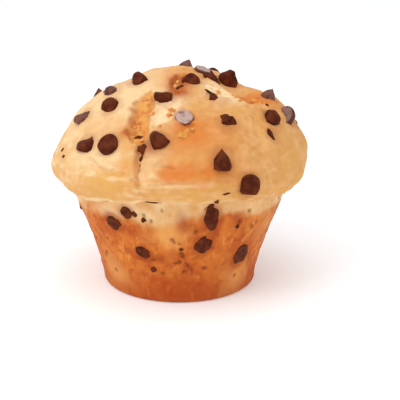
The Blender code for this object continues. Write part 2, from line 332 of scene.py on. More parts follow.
CRACKS = (
    Tear(0.8 * MM, 1.4 * MM, ((-18, 32), (-17.5, 28), (-17.5, 23), (-18, 19)), 0.2, 0.1, 0.1, 1.0),
    Tear(0.4 * MM, 1.1 * MM, ((-18, 23), (-13, 22), (-8, 22), (-2, 21)), 0.2, 0.5, 0.0, 0.3),
    Tear(0.9 * MM, 1.6 * MM, ((13, -4), (15, -1), (17, 3)), 0.2, 0.1, 0.1, 1.0),
    Tear(0.5 * MM, 1.0 * MM, ((16, 5.5), (20, 6), (24, 6)), 0.2, 0.1, 0.1),
    Tear(0.5 * MM, 1.2 * MM, ((-60, 16), (-45, 21), (-34, 18), (-22, 20)), 0.2, 0.5, 0.1, 0.1),
    Tear(0.4 * MM, 1.4 * MM, ((-12, 12), (0, 13), (10, 13)), 0.2, 0.5, 0.1, 0.1),
    Tear(0.7 * MM, 1.3 * MM, ((120, 24), (132, 20), (150, 22)), 0.2, 0.2, 0.1, 0.3),
    Tear(0.7 * MM, 1.3 * MM, ((-160, 16), (-145, 20), (-130, 16)), 0.2, 0.2, 0.1, 0.3),
)

PATCHES = {
    Tint.CREAM: spots(
        (
            # The first cream patch, wide on the left lobe, is partly painted light: it pales the crust where
            # the key light falls.
            (-75, 42, 24, 0.65), (-50, 62, 14, 0.6), (-34, 55, 6, 0.6), (-12, 50, 6, 0.9),
            (-4, 62, 4, 0.8), (50, 66, 6, 1.0), (47, 58, 4, 0.8), (64, 58, 4, 0.9),
            (56, 54.5, 3.5, 0.8), (82, 61, 4, 0.7), (-13, 23, 5, 0.5), (-52, 19, 4, 0.6),
            (-45, 21.5, 4, 0.8), (-38, 22.5, 4, 0.8), (-31, 23.5, 3.5, 0.6),
            *((azimuth, 11.8, 1.4, 0.5) for azimuth in range(-14, 16, 3)),
            (-3, 13, 5, 0.2), (-110, 30, 18, 0.6), (172, 38, 15, 0.7), (-150, 50, 11, 0.6),
        )
    ),
    Tint.AMBER: spots(
        (
            (-7, 18, 2.4, 0.8), (-2, 18.5, 3.4, 1.0), (3, 19, 3.0, 0.8), (8, 17, 4, 0.45),
            (15, 17, 5, 0.5), (22, 18, 5, 0.3), (-24, 19, 3, 0.3), (5, 38, 6, 0.9),
            (-30, 35.5, 2.4, 0.9), (16, 34, 14, 0.4), (74, 52, 4, 0.9), (80, 50, 6, 0.8),
            (82, 45, 5, 1.0), (0, 76, 6, 0.7), (-90, 62, 5, 0.5), (-55, -7, 6, 0.7),
            (2, 66, 3, 0.8), (125, 40, 14, 0.5), (-165, 28, 10, 0.5),
        )
    ),
    Tint.GOLD: spots(
        (
            (-33, 6, 8, 0.9), (-31, 15, 6, 0.6), (-29, 30, 5, 0.6), (6, 8, 11, 0.9),
            (11, 53, 4, 0.9), (-34, 56, 3, 0.9), (44, 47, 4, 0.8), (-80, 12, 10, 0.5),
            (60, 12, 12, 0.5), (-150, 12, 12, 0.6),
        )
    ),
    # Rust-brown stains; the patch at azimuth -16, latitude 29.5 is painted shade beside a chip.
    Tint.RUST_AND_SHADE: spots(
        (
            (-36, 49.5, 1.5, 0.7), (-30, 35.5, 2.0, 0.9), (-3, 76, 3.0, 0.9), (-5, 70, 3.0, 1.0),
            (-6, 64, 2.4, 0.7), (3, 64, 2.0, 0.8), (-2, 73, 3.0, 0.8), (80, 55, 1.8, 0.7),
            (2, -9, 2.4, 0.9), (-11, -30, 2.2, 0.8), (-19, -31, 2.6, 0.9), (33, -11, 2.6, 0.9),
            (31, -35, 6, 0.4), (-16, 29.5, 2.4, 0.6), (-41, -8.5, 2.2, 0.8),
        )
    ),
    Tint.TAN: spots(
        (
            (-8, -10, 6, 0.8), (-5, -17, 4, 0.6), (-50, -44, 6, 0.8), (44, -46, 6, 0.8),
            # The patch at azimuth 58, latitude -16 is a painted highlight on the base's right edge.
            (58, -16, 6, 0.6),
        )
    ),
}

# Azimuth in degrees and height in millimetres: the upper edge of the browned base, and its pits.
BAND_EDGE = (
    (-180, 31.0), (-90, 30.5), (-64, 30.4), (-52, 31.9), (-27, 32.8), (-14, 31.0),
    (-4, 31.5), (5, 34.3), (27, 34.5), (48, 32.1), (60, 31.9), (180, 31.0),
)
PITS = (
    (0, 24.2), (-4, 25.5), (-3, 24.8), (1, 22.0), (1, 20.1), (2, 19.0), (0, 16.7), (-2, 16.2),
    (4, 16.0), (5, 15.0), (7, 13.8), (8, 13.0), (-19, 32.0), (-9, 33.6), (-15, 30.6), (3, 12.5),
)


@dataclass(frozen=True)
class Relief:
    """The sizes of the skin's relief. A layer of noise is its height, its size and its shift."""

    lump_size: float = 17.0 * MM
    crown_lump: float = 1.0 * MM
    wall_lump: float = 0.35 * MM
    foot_stays_flat: float = 5.0 * MM
    crown_grain: Layers = ((0.45 * MM, 6.0 * MM, 1.3), (0.28 * MM, 2.6 * MM, 2.1))
    wall_grain: Layers = ((0.22 * MM, 4.5 * MM, 3.7), (0.20 * MM, 1.7 * MM, 5.9))
    crease: float = 0.25 * MM
    fold: Layers = ((0.45 * MM, (12 * MM, 12 * MM, 2.2 * MM), 0.7),)
    fold_band: tuple[float, float, float, float] = (35 * MM, 38 * MM, 46 * MM, 54 * MM)
    brim: float = 0.3 * MM
    brim_edge: Layers = ((0.6 * MM, 3.0 * MM, 4.1),)
    brim_band: tuple[float, float, float, float] = (30 * MM, 34 * MM, 36 * MM, 39 * MM)
    split_swell: float = 0.9 * MM
    split_swell_reach: float = 8.0 * MM
    split_edge: Layers = ((0.55 * MM, 2.6 * MM, 7.3), (0.3 * MM, 1.2 * MM, 1.9))
    split_floor: float = 0.6
    split_crags: Layers = ((0.9 * MM, 2.6 * MM, 4.4), (0.55 * MM, 1.2 * MM, 8.2))
    uneven: float = 0.35
    lip_reach: float = 1.5 * MM
    crack_lip_reach: float = 1.2 * MM
    fringe_reach: float = 0.7 * MM
    pocket_edge: float = 0.55
    pocket_rim: float = 0.45 * MM
    pocket_reach: float = 1.3 * MM
    pocket_sway: Layers = ((0.5 * MM, 2.2 * MM, 6.1),)
    pits: int = 60
    pit_depth: float = 0.55
    seed: int = 5


@dataclass(frozen=True)
class Toning:
    """How the crust's tones spread. A layer of noise is its height, its size and its shift."""

    patch_edge: Layers = ((0.35, 5 * MM, 3.1), (0.2, 2 * MM, 5.3))
    brown_edge: Layers = ((0.7 * MM, 7 * MM, 2.7), (1.5 * MM, 2.2 * MM, 9.1))
    brown_sway: Layers = ((0.8 * MM, 9 * MM, 6.2),)
    neck: float = 0.85
    neck_mottle: Layers = ((1.0, 4 * MM, 3.3),)
    bands: Layers = ((1.0, (11 * MM, 11 * MM, 2.4 * MM), 1.7), (0.4, 2.5 * MM, 3.9))
    banded: tuple[float, float, float, float] = (37 * MM, 40 * MM, 52 * MM, 60 * MM)
    band_share: float = 0.75
    pressed_stain: float = 0.65
    # The ring round a drop chip is partly painted shade under it, partly a stain.
    drop_stain_and_shade: float = 0.3
    stain_and_shade_falls: float = 2.2


RELIEF = Relief()
TONING = Toning()


@dataclass(frozen=True)
class TearReading:
    """The nearest tear of many points: how far, on which side (1 is the far one), and its traits."""

    away: Array
    side: Array
    depth: Array
    half: Array
    crumb: Array
    near_lip: Array
    far_lip: Array
    stain_and_shade: Array
    pale: Array

    def lip(self) -> Array:
        """Gives the height of the lip on each point's side."""
        return np.where(self.side > 0.5, self.far_lip, self.near_lip) * MM


def tree_of(points: list[Vector]) -> kdtree.KDTree:
    """Makes a search tree of points.

    Args:
        points: The points.

    Returns:
        The tree, which gives a point's place in the list.
    """
    tree = kdtree.KDTree(len(points))
    for index, point in enumerate(points):
        tree.insert(point, index)
    tree.balance()
    return tree


class TearField:
    """Tells how far a point lies from the nearest of several tears, and on which side."""

    spacing = 0.5 * MM

    def __init__(self, tears: tuple[Tear, ...]) -> None:
        """Walks every route in small steps.

        Args:
            tears: The tears to look for.
        """
        self.points: list[Vector] = []
        self.across: list[Vector] = []
        self.traits: list[tuple[float, ...]] = []
        for tear in tears:
            self._walk(tear)
        self.tree = tree_of(self.points)

    def _walk(self, tear: Tear) -> None:
        """Adds a tear's points, spaced evenly along its smoothed route.

        Args:
            tear: The tear to add.
        """
        corners = [MERIDIAN.point(*station) for station in tear.route]
        ends = [corners[0] * 2 - corners[1], *corners, corners[-1] * 2 - corners[-2]]
        path = []
        for before, start, end, after in zip(ends, ends[1:], ends[2:], ends[3:]):
            steps = max(2, round((end - start).length / self.spacing))
            path += [catmull_rom(before, start, end, after, step / steps) for step in range(steps)]
        path.append(corners[-1])
        for index, point in enumerate(path):
            along = path[min(index + 1, len(path) - 1)] - path[max(index - 1, 0)]
            outward = Vector((point.x, point.y, point.z - MERIDIAN.outline.neck_height))
            taper = math.sin(math.pi * (index + 0.5) / len(path)) ** 0.45
            uneven = 1 + RELIEF.uneven * noise.noise(point / (3.2 * MM))
            self.points.append(point)
            self.across.append(along.cross(outward).normalized())
            self.traits.append(
                (
                    tear.depth * taper,
                    tear.width / 2 * taper * uneven,
                    tear.crumb,
                    tear.near_lip * taper,
                    tear.far_lip * taper,
                    tear.stain_and_shade,
                    tear.pale,
                )
            )

    def read(self, points: Array) -> TearReading:
        """Measures many points.

        Args:
            points: One point to a row.

        Returns:
            The distances, the sides and the nearest tear's traits.
        """
        away, side, traits = [], [], []
        for point in points:
            place = Vector(point)
            nearest, index, distance = self.tree.find(place)
            away.append(distance)
            side.append(1.0 if (place - nearest).dot(self.across[index]) > 0 else 0.0)
            traits.append(self.traits[index])
        return TearReading(np.array(away), np.array(side), *np.array(traits).T)


def catmull_rom(before: Vector, start: Vector, end: Vector, after: Vector, share: float) -> Vector:
    """Reads a smooth curve between two of its points.

    Args:
        before: The point before the stretch.
        start: Where the stretch starts.
        end: Where it ends.
        after: The point after the stretch.
        share: How far along the stretch, 0 to 1.

    Returns:
        The point of the curve.
    """
    line = (end - before) * share
    bend = (before * 2 - start * 5 + end * 4 - after) * share**2
    twist = (start * 3 - before - end * 3 + after) * share**3
    return start + (line + bend + twist) / 2


# ---- chips as the frame seats them


class ChipShape(Enum):
    """How a chip lies in the dough."""

    DROP = "drop"
    PRESSED = "pressed"


@dataclass(frozen=True)
class Seat:
    """Where a chip of the frame sits. Its axis points out of its tip, or out of the wall."""

    node: str
    shape: ChipShape
    middle: Vector
    axis: Vector
    up: Vector
    width: float
    tall: float


DROP_HEIGHT = 0.90
PRESSED_DEPTH = 0.42
PRESSED_FACE = 0.80


def read_seat(node: str) -> Seat:
    """Reads a chip's place, axis and size from its solid in the frame.

    Args:
        node: The chip's name.

    Returns:
        The seat.
    """
    bm = bmesh.new()
    bm.from_mesh(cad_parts[node].data)
    bmesh.ops.remove_doubles(bm, verts=bm.verts, dist=0.01 * MM)
    bmesh.ops.dissolve_limit(bm, angle_limit=math.radians(2), verts=bm.verts, edges=bm.edges)
    flat = max(bm.faces, key=lambda face: face.calc_area())
    outward = flat.normal.copy()
    centre = flat.calc_center_median()
    shape = ChipShape.PRESSED if "wall" in node else ChipShape.DROP
    reach = [(vertex.co - centre).dot(outward) for vertex in bm.verts]
    thick = max(reach) - min(reach)
    middle = centre - outward * thick / 2
    if shape is ChipShape.DROP:
        width = thick / DROP_HEIGHT
        up = outward.orthogonal().normalized()
        seat = Seat(node, shape, middle, -outward, up, width, width)
    else:
        up = (Vector((0, 0, 1)) - outward * outward.z).normalized()
        rises = [(vertex.co - centre).dot(up) for vertex in flat.verts]
        width = thick / PRESSED_DEPTH
        tall = (max(rises) - min(rises)) / PRESSED_FACE
        seat = Seat(node, shape, middle, outward, up, width, tall)
    bm.free()
    return seat


SEATS = [read_seat(node) for node in sorted(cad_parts) if node != "muffin"]


# ---- meshes and pieces


def mesh_from(name: str, bm: bmesh.types.BMesh) -> bpy.types.Mesh:
    """Turns an edit mesh into a mesh, and frees it.

    Args:
        name: The mesh's name.
        bm: The edit mesh.

    Returns:
        The mesh.
    """
    mesh = bpy.data.meshes.new(name)
    bm.to_mesh(mesh)
    bm.free()
    return mesh


def smooth_piece(name: str, mesh: bpy.types.Mesh, material: Material) -> Piece:
    """Makes a smoothly shaded piece at the origin.

    Args:
        name: The piece's name.
        mesh: Its mesh.
        material: Its only material.

    Returns:
        The piece, in the scene.
    """
    mesh.materials.append(material)
    mesh.shade_smooth()
    piece = bpy.data.objects.new(name, mesh)
    bpy.context.scene.collection.objects.link(piece)
    log.info("%s: %d faces", name, len(mesh.polygons))
    return piece


# ---- node building


class Nodes:
    """A short way to add nodes to a tree."""

    def __init__(self, tree: bpy.types.NodeTree) -> None:
        """Takes a material's or a group's tree to build in."""
        self.tree = tree

    def add(self, kind: str, inputs: Inputs | None = None, **settings: object) -> bpy.types.Node:
        """Adds a node.

        Args:
            kind: The node's type.
            inputs: A socket to link, or a value, for each named or numbered input.
            **settings: Properties of the node.

        Returns:
            The node.
        """
        node = self.tree.nodes.new(kind)
        for name, value in settings.items():
            setattr(node, name, value)
        for socket, value in (inputs or {}).items():
            if isinstance(value, bpy.types.NodeSocket):
                self.tree.links.new(value, node.inputs[socket])
            else:
                node.inputs[socket].default_value = value
        return node

    def mask(self, name: str) -> Socket:
        """Reads the mask of this name that the mesh carries."""
        return self.add("ShaderNodeAttribute", attribute_name=name).outputs["Fac"]

    def speckle(self, place: Socket, size: float, low: float, high: float) -> Socket:
        """Makes a mask of soft spots of a size, starting at the low noise value and full at the high."""
        given = {"Place": place, "Scale": 1 / size, "Low": low, "High": high}
        return self.add("ShaderNodeGroup", given, node_tree=speckle_group()).outputs["Mask"]

    def lay(self, colour: Paint, mask: Socket, share: float | Socket, tint: Paint) -> Socket:
        """Lays a tint over a colour. A mix node's colours are its inputs 6 and 7 and its output 2.

        Args:
            colour: A colour or a socket.
            mask: Where the tint lies.
            share: How strong it is where the mask is full, as a number or a socket.
            tint: A colour or a socket.

        Returns:
            The socket of the tinted colour.
        """
        given = {0: mask, 1: share}
        strong = self.add("ShaderNodeMath", given, operation="MULTIPLY", use_clamp=True).outputs[0]
        return self.add("ShaderNodeMix", {0: strong, 6: colour, 7: tint}, data_type="RGBA").outputs[2]


def new_group(
    name: str, inputs: Sockets, outputs: Sockets
) -> tuple[Nodes, bpy.types.Node, bpy.types.Node]:
    """Starts a node group with its sockets.

    Args:
        name: The group's name.
        inputs: Name and socket type of each input.
        outputs: Name and socket type of each output.

    Returns:
        The node builder, the group's input node and its output node.
    """
    tree = bpy.data.node_groups.new(name, "ShaderNodeTree")
    for label, kind in inputs:
        tree.interface.new_socket(name=label, in_out="INPUT", socket_type=kind)
    for label, kind in outputs:
        tree.interface.new_socket(name=label, in_out="OUTPUT", socket_type=kind)
    nodes = Nodes(tree)
    return nodes, nodes.add("NodeGroupInput"), nodes.add("NodeGroupOutput")


def speckle_group() -> bpy.types.NodeTree:
    """Gives the group that turns noise into a mask of soft spots.

    Returns:
        The group, made once.
    """
    name = "speckle"
    if name in bpy.data.node_groups:
        return bpy.data.node_groups[name]
    number = "NodeSocketFloat"
    inputs = (("Place", "NodeSocketVector"), ("Scale", number), ("Low", number), ("High", number))
    nodes, given, result = new_group(name, inputs, (("Mask", number),))
    place, scale, low, high = (given.outputs[index] for index in range(4))
    texture = {"Vector": place, "Scale": scale, "Detail": 3.0, "Roughness": 0.6}
    grain = nodes.add("ShaderNodeTexNoise", texture)
    rise = {"Value": grain.outputs["Fac"], "From Min": low, "From Max": high}
    spot = nodes.add("ShaderNodeMapRange", rise, interpolation_type="SMOOTHSTEP")
    nodes.tree.links.new(spot.outputs["Result"], result.inputs["Mask"])
    return nodes.tree


def grain_group() -> bpy.types.NodeTree:
    """Gives the group that turns two sizes of grain into one height.

    Returns:
        The group, made once.
    """
    name = "grain"
    if name in bpy.data.node_groups:
        return bpy.data.node_groups[name]
    number = "NodeSocketFloat"
    inputs = (("Place", "NodeSocketVector"), ("Coarse", number), ("Fine", number), ("Share", number))
    nodes, given, result = new_group(name, inputs, (("Height", number),))
    place, coarse, fine, share = (given.outputs[index] for index in range(4))
    big = nodes.add("ShaderNodeTexNoise", {"Vector": place, "Scale": coarse, "Detail": 3.0, "Roughness": 0.6})
    small = nodes.add("ShaderNodeTexNoise", {"Vector": place, "Scale": fine, "Detail": 2.0, "Roughness": 0.7})
    heights = {0: share, 2: big.outputs["Fac"], 3: small.outputs["Fac"]}
    mix = nodes.add("ShaderNodeMix", heights, data_type="FLOAT")
    nodes.tree.links.new(mix.outputs[0], result.inputs["Height"])
    return nodes.tree


# ---- finishes


@dataclass(frozen=True)
class Finish:
    """The plain values of a material's shader."""

    name: str
    roughness: float
    specular: float
    subsurface: float
    subsurface_radius: tuple[float, float, float]
    bump: float
    coarse: float
    fine: float
    share: float

    def start(self) -> tuple[Material, Nodes, bpy.types.Node, Socket]:
        """Makes the material, its shader and its grain.

        Returns:
            The material, the node builder, the shader and the object coordinates.
        """
        material = bpy.data.materials.new(self.name)
        material.use_nodes = True
        nodes = Nodes(material.node_tree)
        shader = material.node_tree.nodes["Principled BSDF"]
        shader.inputs["Roughness"].default_value = self.roughness
        shader.inputs["Specular IOR Level"].default_value = self.specular
        shader.inputs["Subsurface Weight"].default_value = self.subsurface
        shader.inputs["Subsurface Radius"].default_value = self.subsurface_radius
        shader.inputs["Subsurface Scale"].default_value = 1.0
        place = nodes.add("ShaderNodeTexCoord").outputs["Object"]
        given = {"Place": place, "Coarse": 1 / self.coarse, "Fine": 1 / self.fine, "Share": self.share}
        grain = nodes.add("ShaderNodeGroup", given, node_tree=grain_group())
        relief = {"Strength": 1.0, "Distance": self.bump, "Height": grain.outputs["Height"]}
        bump = nodes.add("ShaderNodeBump", relief)
        material.node_tree.links.new(bump.outputs["Normal"], shader.inputs["Normal"])
        return material, nodes, shader, place


DOUGH_FINISH = Finish(
    "dough", 0.66, 0.14, 0.12, (2.2 * MM, 1.2 * MM, 0.6 * MM), 0.22 * MM, 1.6 * MM, 0.45 * MM, 0.4
)
CRUMB_FINISH = Finish(
    "crumb", 0.85, 0.2, 0.15, (1.6 * MM, 0.9 * MM, 0.4 * MM), 0.2 * MM, 0.9 * MM, 0.35 * MM, 0.5
)
CHOCOLATE_FINISH = Finish(
    "chocolate", 0.40, 0.05, 0.0, (1 * MM, 1 * MM, 1 * MM), 0.06 * MM, 1.4 * MM, 0.3 * MM, 0.4
)


def dough_material() -> Material:
    """Makes the crust: cream to tan on the crown, orange in the tears, browned on the base. It also lays
    painted shade in cracks, pits and round some chips, and a painted highlight on the base.

    Returns:
        The material.
    """
    material, nodes, shader, place = DOUGH_FINISH.start()
    cream, tan, gold = tone(238, 202, 152), tone(217, 159, 94), tone(220, 163, 87)
    amber, rust_and_shade_tone, pit_shade_tone = tone(216, 122, 48), tone(160, 62, 20), tone(114, 42, 6)
    upright = {0: place, 1: (1.0, 1.0, 0.3)}
    tall = nodes.add("ShaderNodeVectorMath", upright, operation="MULTIPLY").outputs[0]
    crust = nodes.lay(tan, nodes.speckle(place, 8 * MM, 0.42, 0.62), 0.7, tone(231, 179, 118))
    crust = nodes.lay(crust, nodes.speckle(place, 3 * MM, 0.48, 0.68), 0.5, tone(206, 137, 70))
    crust = nodes.lay(crust, nodes.mask("gold"), 1.0, gold)
    crust = nodes.lay(crust, nodes.mask("pale"), 1.0, cream)
    crust = nodes.lay(crust, nodes.mask("blush"), 0.85, amber)
    crust = nodes.lay(crust, nodes.speckle(place, 1.5 * MM, 0.55, 0.75), 0.3, tone(200, 136, 78))
    browned, dark = tone(209, 117, 44), tone(190, 93, 32)
    browned = nodes.lay(browned, nodes.speckle(place, 9 * MM, 0.42, 0.60), 1.0, dark)
    browned = nodes.lay(browned, nodes.speckle(place, 3.2 * MM, 0.48, 0.66), 0.5, rust_and_shade_tone)
    browned = nodes.lay(browned, nodes.speckle(tall, 3.0 * MM, 0.52, 0.70), 0.7, tone(228, 147, 70))
    browned = nodes.lay(browned, nodes.mask("low"), 0.7, tone(172, 70, 24))
    # Tan patches on the base, one of them a painted highlight.
    browned = nodes.lay(browned, nodes.mask("streak"), 0.8, tone(232, 166, 92))
    crumb, toasted = tone(226, 160, 78), tone(208, 120, 50)
    crumb = nodes.lay(crumb, nodes.speckle(place, 3.0 * MM, 0.42, 0.62), 1.0, toasted)
    crumb = nodes.lay(crumb, nodes.mask("fair"), 0.9, tone(252, 222, 178))
    skin = nodes.lay(crust, nodes.mask("base"), 1.0, browned)
    skin = nodes.lay(skin, nodes.mask("torn"), 1.0, crumb)
    # Rust-brown round the chips and in patches: stains, and partly painted shade.
    skin = nodes.lay(skin, nodes.mask("halo"), 0.75, rust_and_shade_tone)
    # Painted shade in the cracks and along the splits' edges.
    skin = nodes.lay(skin, nodes.mask("crack"), 0.8, rust_and_shade_tone)
    # Painted shade inside the wall's pits.
    skin = nodes.lay(skin, nodes.mask("pit"), 0.8, pit_shade_tone)
    material.node_tree.links.new(skin, shader.inputs["Base Color"])
    return material


def crumb_material() -> Material:
    """Makes the open crumb of the loose bits in the tears.

    Returns:
        The material.
    """
    material, nodes, shader, place = CRUMB_FINISH.start()
    light, dark = tone(232, 168, 96), tone(206, 118, 52)
    colour = nodes.lay(light, nodes.speckle(place, 1.6 * MM, 0.40, 0.62), 1.0, dark)
    material.node_tree.links.new(colour, shader.inputs["Base Color"])
    return material


def chocolate_material() -> Material:
    """Makes dark chocolate with a patchy painted sheen: a pale grey-lilac laid as colour where the mesh asks
    for it, standing in for the softboxes' reflection.

    Returns:
        The material.
    """
    material, nodes, shader, place = CHOCOLATE_FINISH.start()
    dark, light, bloom = tone(76, 29, 13), tone(104, 47, 25), tone(190, 160, 150)
    colour = nodes.lay(dark, nodes.speckle(place, 3 * MM, 0.38, 0.66), 1.0, light)
    # Painted reflection: a pale grey-lilac sheen laid as colour where the mesh asks for it.
    colour = nodes.lay(colour, nodes.mask("bloom"), nodes.speckle(place, 2.4 * MM, 0.25, 0.55), bloom)
    material.node_tree.links.new(colour, shader.inputs["Base Color"])
    return material


# ---- the dough


def share_of(mask: Array) -> Array:
    """Clips a mask to the range from 0 to 1."""
    return np.clip(mask, 0.0, 1.0)


def patch_mask(points: Array, tint: Tint) -> Array:
    """Adds up the soft patches of one tint, with ragged edges."""
    return share_of(spots_at(points, PATCHES[tint], 1 + layered(points, TONING.patch_edge)))


class Dough:
    """The dough's skin: where it lies, how it is torn and how it is toned."""

    cells = 126
    foot_share = 0.91

    def __init__(self) -> None:
        """Prepares the fields that shape the skin."""
        self.splits = TearField(SPLITS)
        self.cracks = TearField(CRACKS)
        self.masks: dict[str, Array] = {}
        self.flush = np.zeros(0)

    def grid(self) -> bpy.types.Mesh:
        """Makes an even closed grid, as a cube whose sides are divided alike.

        Returns:
            The mesh, with its vertices on the cube.
        """
        bm = bmesh.new()
        bmesh.ops.create_cube(bm, size=2.0)
        bmesh.ops.subdivide_edges(bm, edges=bm.edges[:], cuts=self.cells - 1, use_grid_fill=True)
        return mesh_from("dough", bm)

    def wrap(self, cube: Array) -> tuple[Array, Array]:
        """Lays the cube's points on the mean outline.

        Args:
            cube: Points on a cube of side 2.

        Returns:
            The points on the outline and their normals.
        """
        ball = np.tan(cube * math.pi / 4)
        ball /= np.linalg.norm(ball, axis=1)[:, None]
        down = np.arccos(np.clip(ball[:, 2], -1, 1)) / math.pi
        length = np.interp(down, (0, self.foot_share, 1), (0, MERIDIAN.foot_starts, MERIDIAN.length[-1]))
        level = np.hypot(ball[:, 0], ball[:, 1])
        level[level == 0] = 1
        out = ball[:, :2] / level[:, None]
        curves = (MERIDIAN.radius, MERIDIAN.height, MERIDIAN.normal_out, MERIDIAN.normal_up)
        radius, height, normal_out, normal_up = (np.interp(length, MERIDIAN.length, c) for c in curves)
        points = np.column_stack((out * radius[:, None], height))
        normals = np.column_stack((out * normal_out[:, None], normal_up))
        return points, normals

    def main_forms(self, points: Array) -> Array:
        """Gives the lumps and lobes that the solid has too.

        Args:
            points: One point to a row.

        Returns:
            The lift of each point.
        """
        outline = MERIDIAN.outline
        on_crown = smooth_step(outline.rim_height, outline.equator_height, points[:, 2])
        lump = RELIEF.wall_lump + (RELIEF.crown_lump - RELIEF.wall_lump) * on_crown
        return lump * noise_at(points, RELIEF.lump_size, 0.0) + spots_at(points, LOBES)

    def tears(self, points: Array) -> Array:
        """Gives the splits and cracks, and notes where the crumb shows.

        Args:
            points: One point to a row.

        Returns:
            The lift of each point.
        """
        ragged = layered(points, RELIEF.split_edge)
        split, crack = self.splits.read(points), self.cracks.read(points)
        away, narrow = split.away + ragged, crack.away + ragged * 0.5
        inside = 1 - smooth_step(0.55, 1.15, away / split.half)
        beside = hump((away - split.half * 1.25) / RELIEF.lip_reach)
        crags = inside * split.crumb * layered(points, RELIEF.split_crags)
        lift = RELIEF.split_swell * hump(away / RELIEF.split_swell_reach)
        lift += split.lip() * beside - inside * split.depth * RELIEF.split_floor + crags
        broken = smooth_step(-0.25, 0.15, noise_at(points, 3.4 * MM, 6.6))
        cut = hump(narrow / crack.half) * broken
        raised = hump((narrow - 2.2 * crack.half) / RELIEF.crack_lip_reach)
        lift += raised * crack.lip() - cut * crack.depth
        broken_edge = smooth_step(0.0, 0.5, noise_at(points, 3.0 * MM, 5.5))
        fringe = hump((away - split.half * 0.95) / RELIEF.fringe_reach) * broken_edge
        self.masks["torn"] = share_of(inside * split.crumb)
        self.masks["fair"] = share_of(split.pale)
        # Painted shade: rust-brown is noted in the cracks and along the splits' broken edges.
        self.masks["crack"] = share_of(cut * crack.stain_and_shade + fringe * split.stain_and_shade)
        return lift

    def chip_collars(self, points: Array) -> Array:
        """Raises the dough a little round each chip, and notes the dark ring there: a stain round the pressed
        chips, and partly painted shade round the drops.

        Args:
            points: One point to a row.

        Returns:
            The lift of each point.
        """
        lift, halo, flush = (np.zeros(len(points)) for _ in range(3))
        sway = layered(points, RELIEF.pocket_sway)
        shifted = points.copy()
        shifted[:, 2] += MERIDIAN.outline.neck_shift(points)
        for seat in SEATS:
            offset = shifted - np.array(seat.middle)
            if seat.shape is ChipShape.PRESSED:
                offset *= np.array((1, 1, seat.width / seat.tall))
            away = np.linalg.norm(offset, axis=1) + sway
            beyond = (away - seat.width * RELIEF.pocket_edge) / RELIEF.pocket_reach
            outside = np.maximum(beyond, 0)
            stain_and_shade = np.exp(-(outside**2) * TONING.stain_and_shade_falls)
            if seat.shape is ChipShape.PRESSED:
                flush = np.maximum(flush, hump(outside))
                halo = np.maximum(halo, TONING.pressed_stain * stain_and_shade)
            else:
                lift += RELIEF.pocket_rim * hump(beyond)
                halo = np.maximum(halo, TONING.drop_stain_and_shade * stain_and_shade)
        self.masks["halo"] = share_of(halo + patch_mask(points, Tint.RUST_AND_SHADE))
        self.flush = flush
        return lift

    def wall_pits(self, points: Array) -> Array:
        """Sinks small pits into the wall of the base, and notes where they are darkened as painted shade.

        Args:
            points: One point to a row.

        Returns:
            The lift of each point.
        """
        rng = random.Random(RELIEF.seed)
        spread = [(rng.uniform(-180, 180), rng.uniform(4, 35)) for _ in range(RELIEF.pits)]
        centres, sizes = [], []
        for azimuth, height in [*PITS, *spread]:
            centres.append(MERIDIAN.point(azimuth, MERIDIAN.latitude_of_height(height * MM)))
            sizes.append(rng.uniform(0.45, 0.95) * MM)
        tree = tree_of(centres)
        found = [tree.find(Vector(point)) for point in points]
        away = np.array([distance for _, _, distance in found])
        size = np.array([sizes[index] for _, index, _ in found])
        sunk = hump(away / size)
        # Painted shade: the pits are darkened as colour, as well as sunk.
        self.masks["pit"] = share_of(sunk * 1.1 - 0.1)
        return -RELIEF.pit_depth * size * sunk

    def tones(self, points: Array) -> None:
        """Notes where the crust is pale, blushed, browned and tan. The pale and golden bands and the pale
        neck are laid stronger on the left, where the key light falls, as painted light.

        Args:
            points: One point to a row.
        """
        height = points[:, 2] + MERIDIAN.outline.neck_shift(points)
        neck_level = height - points[:, 2] + MERIDIAN.outline.neck_height
        ragged = layered(points, TONING.brown_edge)
        azimuth = np.degrees(np.arctan2(points[:, 0], -points[:, 1]))
        # Painted light: weighs the pale and golden tones stronger on the left, where the key light falls.
        painted_light_side = smooth_step(-0.2, 0.8, np.cos(np.radians(azimuth + 70)))
        edge = np.interp(azimuth, *np.array(BAND_EDGE).T) * MM + layered(points, TONING.brown_sway)
        base = 1 - smooth_step(-2.2 * MM, 1.8 * MM, height + ragged - edge)
        low = 1 - smooth_step(2 * MM, 17 * MM, height + 2 * ragged)
        below = 1 - smooth_step(0.5 * MM, 2.5 * MM, height + ragged - neck_level)
        neck = smooth_step(30 * MM, 33 * MM, height) * below * (0.75 + layered(points, TONING.neck_mottle))
        neck *= TONING.neck * (0.6 + 0.4 * painted_light_side)
        streaky = TONING.band_share * band(height, *TONING.banded) * (0.3 + 0.7 * painted_light_side)
        bands = layered(points, TONING.bands)
        pale = patch_mask(points, Tint.CREAM) + neck + streaky * smooth_step(0.0, 0.6, bands)
        gold = patch_mask(points, Tint.GOLD) + streaky * smooth_step(0.0, 0.5, -bands)
        self.masks["pale"] = share_of(pale)
        self.masks["blush"] = patch_mask(points, Tint.AMBER)
        self.masks["gold"] = share_of(gold)
        self.masks["base"] = share_of(base)
        self.masks["streak"] = patch_mask(points, Tint.TAN)
        self.masks["low"] = share_of(low * (0.55 + 0.45 * np.cos(np.radians(azimuth))))

